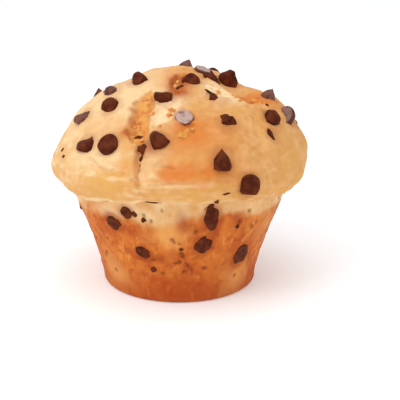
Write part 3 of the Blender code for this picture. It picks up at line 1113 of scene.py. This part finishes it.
    def lift(self, points: Array) -> Array:
        """Adds up the whole relief.

        Args:
            points: One point to a row.

        Returns:
            The lift of each point.
        """
        outline = MERIDIAN.outline
        height = points[:, 2]
        on_crown = smooth_step(outline.rim_height, outline.neck_height + 3 * MM, height)
        crease = np.abs(noise_at(points, 6.5 * MM, 8.8)) + 0.3 * noise_at(points, 2.4 * MM, 2.1)
        crown = layered(points, RELIEF.crown_grain) - RELIEF.crease * (1 - smooth_step(0.0, 0.16, crease))
        wall = layered(points, RELIEF.wall_grain)
        folds = band(height, *RELIEF.fold_band) * layered(points, RELIEF.fold)
        brim = band(height, *RELIEF.brim_band) * (RELIEF.brim + layered(points, RELIEF.brim_edge))
        fine = self.tears(points) + self.chip_collars(points) + self.wall_pits(points)
        fine += crown * on_crown + wall * (1 - on_crown) + folds + brim
        lift = self.main_forms(points) + fine * (1 - self.flush)
        return lift * smooth_step(0, RELIEF.foot_stays_flat, height)

    def recessed(self, skin: Array) -> Array:
        """Presses the skin back behind the face of every pressed chip.

        Args:
            skin: One point to a row.

        Returns:
            The points, moved where a chip's face would lie behind them.
        """
        for seat in SEATS:
            if seat.shape is ChipShape.DROP:
                continue
            offset = skin - np.array(seat.middle)
            out = offset @ np.array(seat.axis)
            across = offset @ np.array(seat.up.cross(seat.axis)) / (seat.width / 2)
            along = offset @ np.array(seat.up) / (seat.tall / 2)
            covered = 1 - smooth_step(0.92, 1.12, np.hypot(across, along))
            covered *= np.abs(out) < seat.width
            behind = seat.width * PRESSED_DEPTH / 2 - 0.3 * MM
            skin = skin - np.outer(covered * np.maximum(0, out - behind), np.array(seat.axis))
        return skin

    def build(self) -> Piece:
        """Makes the dough piece.

        Returns:
            The piece, which replaces the solid.
        """
        mesh = self.grid()
        cube = np.zeros(len(mesh.vertices) * 3)
        mesh.vertices.foreach_get("co", cube)
        points, normals = self.wrap(cube.reshape(-1, 3))
        self.tones(points)
        skin = points + normals * self.lift(points)[:, None]
        skin[:, 2] += MERIDIAN.outline.neck_shift(points)
        skin = self.recessed(skin)
        mesh.vertices.foreach_set("co", skin.ravel())
        for name, values in self.masks.items():
            layer = mesh.attributes.new(name, "FLOAT", "POINT")
            layer.data.foreach_set("value", values.astype(np.float32))
        mesh.update()
        piece = smooth_piece("baked_dough", mesh, dough_material())
        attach(piece, "root")
        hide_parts("muffin")
        return piece


# ---- the chips


@dataclass(frozen=True)
class ChipLook:
    """How a chip has fared in the oven, and how much painted sheen, a painted reflection, it carries."""

    melt: float = 0.07
    rough: float = 0.02
    bloom: float = 0.0


# The sheen values are painted reflections of the softboxes, not marks of the oven.
LOOKS = {
    "chip_front_02": ChipLook(bloom=1.0),
    "chip_front_03": ChipLook(bloom=1.0),
    "chip_front_05": ChipLook(bloom=1.2),
    "chip_front_10": ChipLook(bloom=1.5),
    "chip_front_11": ChipLook(melt=0.04, bloom=0.9),
    "chip_front_15": ChipLook(melt=0.04, bloom=1.0),
    "chip_front_16": ChipLook(melt=0.12),
    "chip_front_18": ChipLook(melt=0.34, rough=0.10),
    "chip_front_13": ChipLook(melt=0.26, rough=0.06),
    "chip_front_12": ChipLook(melt=0.18, rough=0.05),
    "chip_front_21": ChipLook(melt=0.10, bloom=0.4),
    "chip_front_19": ChipLook(melt=0.10, bloom=1.3),
    "chip_wall_01": ChipLook(melt=0.12, rough=0.06),
    "chip_wall_02": ChipLook(melt=0.24, rough=0.10),
    "chip_wall_03": ChipLook(melt=0.12, rough=0.05),
    "chip_wall_04": ChipLook(melt=0.26, rough=0.10),
    "chip_wall_05": ChipLook(melt=0.20, rough=0.08),
    "chip_wall_06": ChipLook(melt=0.20, rough=0.08),
}


FACET_REACH = {ChipShape.DROP: (0.35, 0.43), ChipShape.PRESSED: (0.43, 0.49)}


class Chip:
    """A chip as a fine mesh on its seat."""

    sides = 36
    rings = 22
    edge_rings = 6
    cuts = 5

    def __init__(self, seat: Seat, look: ChipLook) -> None:
        """Takes the chip's place and look.

        Args:
            seat: Where the chip sits.
            look: How it has fared.
        """
        self.seat = seat
        self.look = look
        rng = random.Random(seat.node)
        reach = FACET_REACH[seat.shape]
        turns = [math.tau * (index + rng.uniform(-0.35, 0.35)) / self.cuts for index in range(self.cuts)]
        self.facets = [
            (Vector((math.cos(turn), math.sin(turn), rng.uniform(0, 0.5))).normalized(), rng.uniform(*reach))
            for turn in turns
        ]

    def drop_profile(self) -> list[tuple[float, float]]:
        """Traces a drop that is 1 wide, with its middle at the origin.

        Returns:
            Its (radius, height) from the tip to the middle of its base.
        """
        belly, edge = 0.755, 0.08
        profile = [(0.0, DROP_HEIGHT / 2)]
        for step in range(1, self.rings):
            share = step / (self.rings - 1)
            radius = 0.5 * (0.35 * share + 0.65 * math.sin(math.pi / 2 * share) ** 1.4)
            profile.append((radius, DROP_HEIGHT * (0.5 - belly * share)))
        fall = DROP_HEIGHT * (1 - belly)
        for step in range(1, self.edge_rings + 1):
            angle = math.pi / 2 * step / self.edge_rings
            radius = 0.5 - edge * (1 - math.cos(angle))
            profile.append((radius, DROP_HEIGHT * (0.5 - belly) - fall * math.sin(angle)))
        profile += [(0.26, -DROP_HEIGHT / 2), (0.13, -DROP_HEIGHT / 2), (0.0, -DROP_HEIGHT / 2)]
        return profile

    def pressed_profile(self) -> list[tuple[float, float]]:
        """Traces a chip pressed by the tin, 1 wide, with its middle at the origin.

        Returns:
            Its (radius, height) from the middle of its outer face to its back.
        """
        middle = PRESSED_DEPTH / 2
        profile = [(0.0, middle), (0.14, middle), (0.28, middle), (0.38, middle - 0.01)]
        for step in range(1, self.rings):
            angle = math.pi * 0.9 * step / (self.rings - 1)
            radius = 0.38 + 0.12 * math.sin(angle) - 0.2 * (step / self.rings) ** 2
            profile.append((radius, middle * math.cos(angle)))
        profile.append((0.0, -middle))
        return profile

    def spun(self, profile: list[tuple[float, float]]) -> bmesh.types.BMesh:
        """Turns a profile into a closed solid.

        Args:
            profile: Its (radius, height) points.

        Returns:
            The solid.
        """
        bm = bmesh.new()
        verts = [bm.verts.new((radius, 0, height)) for radius, height in profile]
        edges = [bm.edges.new(pair) for pair in zip(verts, verts[1:])]
        whole = {"axis": (0, 0, 1), "cent": (0, 0, 0), "angle": math.tau, "use_merge": True}
        bmesh.ops.spin(bm, geom=verts + edges, steps=self.sides, **whole)
        bmesh.ops.remove_doubles(bm, verts=bm.verts, dist=0.0005)
        bmesh.ops.recalc_face_normals(bm, faces=bm.faces)
        return bm

    def chopped(self, point: Vector) -> Vector:
        """Flattens the chip's sides where a facet cuts it.

        Args:
            point: The point of the unit chip.

        Returns:
            The point, moved in to the facets.
        """
        for facet, reach in self.facets:
            beyond = point.dot(facet) - reach
            if beyond > 0:
                point = point - facet * beyond * 0.85
        return point

    def placed(self, point: Vector, seed: Vector) -> tuple[Vector, float]:
        """Melts and places one point of the unit chip.

        Args:
            point: The point of the unit chip.
            seed: Moves the noise, so that no two chips are alike.

        Returns:
            The point on the muffin, and how much painted sheen it carries.
        """
        seat, look = self.seat, self.look
        slump = noise.noise_vector(point * 1.7 + seed) * look.melt
        slump += noise.noise_vector(point * 4 + seed) * look.rough
        if seat.shape is ChipShape.PRESSED:
            # Only a little, and never inward, so that the chip's face stays clear of the crust.
            slump.z = abs(slump.z) * 0.3
        moved = self.chopped(point) + slump
        right = seat.up.cross(seat.axis)
        spot = right * moved.x * seat.width + seat.up * moved.y * seat.tall + seat.axis * moved.z * seat.width
        # The painted sheen lies mostly on the flat base, which would reflect the softboxes.
        on_base = 1.0 if point.z < -DROP_HEIGHT / 2 + 0.06 else 0.15
        return seat.middle + spot, on_base * look.bloom

    def build(self, material: Material) -> Piece:
        """Makes the chip piece.

        Args:
            material: The chocolate.

        Returns:
            The piece, which replaces the chip's solid.
        """
        drop = self.seat.shape is ChipShape.DROP
        bm = self.spun(self.drop_profile() if drop else self.pressed_profile())
        seed = self.seat.middle / (3 * MM)
        sheen_layer = bm.verts.layers.float.new("bloom")
        for vertex in bm.verts:
            vertex.co, vertex[sheen_layer] = self.placed(vertex.co.copy(), seed)
        bmesh.ops.recalc_face_normals(bm, faces=bm.faces)
        mesh = mesh_from(self.seat.node, bm)
        piece = smooth_piece(self.seat.node.replace("chip", "chocolate"), mesh, material)
        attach(piece, "root")
        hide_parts(self.seat.node)
        return piece


# ---- loose bits


@dataclass(frozen=True)
class Speck:
    """A small lump on the skin. Its turn is counted from level, in degrees."""

    azimuth: float
    latitude: float
    radius: float
    stretch: float = 1.0
    turn: float = 0.0


class Bits:
    """Many small lumps of one kind, joined as one piece."""

    def __init__(self, name: str, slot: str, material: Material, skin: BVHTree, seed: int) -> None:
        """Takes what the lumps are made of and what they lie on.

        Args:
            name: The piece's name.
            slot: Not used.
            material: Its material.
            skin: The dough that the lumps lie on.
            seed: Seed of their shapes.
        """
        self.name = name
        self.slot = slot
        self.material = material
        self.skin = skin
        self.rng = random.Random(seed)
        self.bm = bmesh.new()

    def add(self, speck: Speck, squash: float, sunk: float) -> None:
        """Lays a lump on the skin.

        Args:
            speck: Where it lies, and its size.
            squash: Its height over its width.
            sunk: How much of its height lies in the skin.
        """
        azimuth, latitude, size = speck.azimuth, speck.latitude, speck.radius
        mean, normal = MERIDIAN.point(azimuth, latitude), MERIDIAN.normal(azimuth, latitude)
        mean.z += MERIDIAN.outline.neck_shift(np.array([mean]))[0]
        place, facing, _, _ = self.skin.ray_cast(mean + normal * 8 * MM, -normal)
        if place is None:
            return
        turn = facing.to_track_quat("Z", "Y").to_matrix().to_4x4()
        spin = Matrix.Rotation(math.radians(speck.turn), 4, "Z")
        stretch = Matrix.Diagonal((size * speck.stretch, size, size * squash, 1))
        lump = bmesh.ops.create_icosphere(self.bm, subdivisions=3, radius=1.0)["verts"]
        seed = Vector([self.rng.uniform(0, 50) for _ in range(3)])
        for vertex in lump:
            craggy = 0.6 * noise.noise(vertex.co * 1.2 + seed) + 0.35 * noise.noise(vertex.co * 2.7 + seed)
            vertex.co *= 1 + craggy
        centre = place + facing * size * squash * (1 - 2 * sunk)
        bmesh.ops.transform(self.bm, matrix=Matrix.Translation(centre) @ turn @ spin @ stretch, verts=lump)

    def build(self) -> Piece:
        """Makes the piece.

        Returns:
            The piece.
        """
        bmesh.ops.recalc_face_normals(self.bm, faces=self.bm.faces)
        piece = smooth_piece(self.name, mesh_from(self.name, self.bm), self.material)
        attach(piece, "root")
        return piece


def crumbs(skin: BVHTree) -> Piece:
    """Fills the splits with torn crumb.

    Args:
        skin: The dough.

    Returns:
        The piece.
    """
    bits = Bits("crumbs", "dough", crumb_material(), skin, 21)
    for tear in SPLITS:
        astray = math.degrees(tear.width / MERIDIAN.outline.crown_radius) * 0.22
        for start, end in zip(tear.route, tear.route[1:]):
            for _ in range(round(1.6 * tear.crumb * tear.width / (5 * MM))):
                share = bits.rng.random()
                azimuth = start[0] + (end[0] - start[0]) * share + bits.rng.gauss(0, astray * 1.6)
                latitude = start[1] + (end[1] - start[1]) * share + bits.rng.gauss(0, astray)
                size = bits.rng.uniform(0.5, 1.0) * min(1.4 * MM, tear.width * 0.2)
                lump = Speck(azimuth, latitude, size, bits.rng.uniform(0.75, 1.4), bits.rng.uniform(0, 360))
                bits.add(lump, 0.5, 0.8)
    return bits.build()


# Azimuth, latitude and radius in millimetres of each speck, and its stretch and turn if it isn't round.
SPECK_ROWS = (
    (-24, -6.5, 0.95), (-19, -9.0, 0.8), (-12, 0.8, 0.65, 3.2, -16), (-17, -38.0, 1.0),
    (33, -13.0, 0.8), (1, -24.0, 0.7), (1, 69.0, 1.1, 1.4, 80), (33, 62.5, 0.9, 2.4, -40),
    (-23, 35.0, 1.0, 1.5, 20), (-17.8, 29.0, 1.2, 1.5, 70), (-17.5, 24.5, 0.6, 1.8, 80),
    (-17.8, 21.5, 0.4, 2.0, 85), (82, 72.0, 1.6, 1.7, 10), (90, 70.5, 1.3, 1.3, 60),
    (94, 73.0, 2.0, 1.4, 30), (70, 75.0, 1.5, 1.5, 140), (-66, 19.5, 0.7), (-62, 17.5, 0.6),
    (17, 1.5, 0.8, 1.9, 60), (15.5, -2.5, 0.9, 1.9, 40), (20, 6.0, 0.45, 3.0, 5),
)
SPECKS = tuple(
    Speck(azimuth, latitude, radius * MM, *shape) for azimuth, latitude, radius, *shape in SPECK_ROWS
)
BACK_SPECKS = 22


def specks(skin: BVHTree, chocolate: Material) -> Piece:
    """Scatters small bits of chocolate on the skin.

    Args:
        skin: The dough.
        chocolate: Their material.

    Returns:
        The piece.
    """
    bits = Bits("chocolate_specks", "chocolate", chocolate, skin, 8)
    for speck in SPECKS:
        bits.add(speck, 0.5, 0.5)
    for _ in range(BACK_SPECKS):
        azimuth, latitude = bits.rng.uniform(70, 290), bits.rng.uniform(-34, 66)
        radius, stretch = bits.rng.uniform(0.5, 1.1) * MM, bits.rng.uniform(0.8, 1.6)
        bits.add(Speck(azimuth, latitude, radius, stretch, bits.rng.uniform(0, 180)), 0.5, 0.5)
    return bits.build()


# ---- the studio


class Side(Enum):
    """Where a soft light stands: azimuth and elevation in degrees."""

    KEY = (-50, 48)
    TOP = (10, 84)
    FILL = (60, 30)


@dataclass(frozen=True)
class Softbox:
    """A square light that looks at the muffin."""

    side: Side
    power: float
    size: float
    distance: float = 0.8

    def build(self, target: Vector) -> Piece:
        """Sets the light up.

        Args:
            target: What it looks at.

        Returns:
            The light.
        """
        azimuth, elevation = self.side.value
        level = direction(azimuth) * math.cos(math.radians(elevation))
        place = target + (level + Vector((0, 0, math.sin(math.radians(elevation))))) * self.distance
        lamp = bpy.data.lights.new(f"light_{self.side.name.lower()}", "AREA")
        lamp.energy = self.power
        lamp.size = self.size
        light = bpy.data.objects.new(lamp.name, lamp)
        light.location = place
        light.rotation_euler = (place - target).to_track_quat("Z", "Y").to_euler()
        bpy.context.scene.collection.objects.link(light)
        return light


@dataclass(frozen=True)
class Studio:
    """The floor, the light and the camera."""

    lens: float = 106.5
    sensor: float = 36.0
    distance: float = 0.42
    elevation: float = 17.0
    look_height: float = 38 * MM
    shift: tuple[float, float] = (0.05125, -0.064)
    floor_radius: float = 4.0
    floor_glow: float = 0.16
    surround: float = 0.80
    boxes: tuple[Softbox, ...] = (
        Softbox(Side.KEY, 1.9, 0.45),
        Softbox(Side.TOP, 0.9, 0.5),
        Softbox(Side.FILL, 0.2, 0.5),
    )

    def floor(self) -> Piece:
        """Lays the plain pale floor.

        Returns:
            The floor.
        """
        bm = bmesh.new()
        bmesh.ops.create_circle(bm, cap_ends=True, segments=96, radius=self.floor_radius)
        mesh = mesh_from("floor", bm)
        material = bpy.data.materials.new("floor")
        material.use_nodes = True
        inputs = material.node_tree.nodes["Principled BSDF"].inputs
        inputs["Base Color"].default_value = (0.93, 0.95, 0.97, 1)
        inputs["Roughness"].default_value = 0.9
        inputs["Specular IOR Level"].default_value = 0.0
        inputs["Emission Color"].default_value = (1, 1, 1, 1)
        inputs["Emission Strength"].default_value = self.floor_glow
        mesh.materials.append(material)
        floor = bpy.data.objects.new("floor", mesh)
        bpy.context.scene.collection.objects.link(floor)
        return floor

    def world(self) -> None:
        """Surrounds the muffin with even white light."""
        world = bpy.data.worlds.new("studio")
        world.use_nodes = True
        backdrop = world.node_tree.nodes["Background"]
        backdrop.inputs["Color"].default_value = (1, 1, 1, 1)
        backdrop.inputs["Strength"].default_value = self.surround
        bpy.context.scene.world = world
        bpy.context.scene.view_settings.view_transform = "Standard"

    def camera(self) -> Piece:
        """Sets the camera up in front of the muffin, a little above it.

        Returns:
            The camera.
        """
        rise = math.radians(self.elevation)
        target = Vector((0, 0, self.look_height))
        back = Vector((0, -math.cos(rise), math.sin(rise)))
        lens = bpy.data.cameras.new("camera")
        lens.lens = self.lens
        lens.sensor_width = self.sensor
        lens.shift_x, lens.shift_y = self.shift
        lens.clip_start = 0.01
        lens.clip_end = 50.0
        camera = bpy.data.objects.new("camera", lens)
        camera.location = target + back * self.distance
        camera.rotation_euler = back.to_track_quat("Z", "Y").to_euler()
        bpy.context.scene.collection.objects.link(camera)
        bpy.context.scene.camera = camera
        return camera

    def build(self) -> None:
        """Sets the whole studio up."""
        self.world()
        self.floor()
        self.camera()
        for box in self.boxes:
            box.build(Vector((0, 0, self.look_height)))
        log.info("studio: %d lights", len(self.boxes))


def skin_of(piece: Piece) -> BVHTree:
    """Makes a search tree of a piece's faces."""
    mesh = piece.data
    return BVHTree.FromPolygons([v.co for v in mesh.vertices], [tuple(p.vertices) for p in mesh.polygons])


def main() -> None:
    """Builds every piece and the studio."""
    noise.seed_set(SEED)
    Studio().build()
    dough = Dough().build()
    chocolate = chocolate_material()
    for seat in SEATS:
        Chip(seat, LOOKS.get(seat.node, ChipLook())).build(chocolate)
    log.info("chips: %d", len(SEATS))
    skin = skin_of(dough)
    crumbs(skin)
    specks(skin, chocolate)


if __name__ == "__main__":
    main()
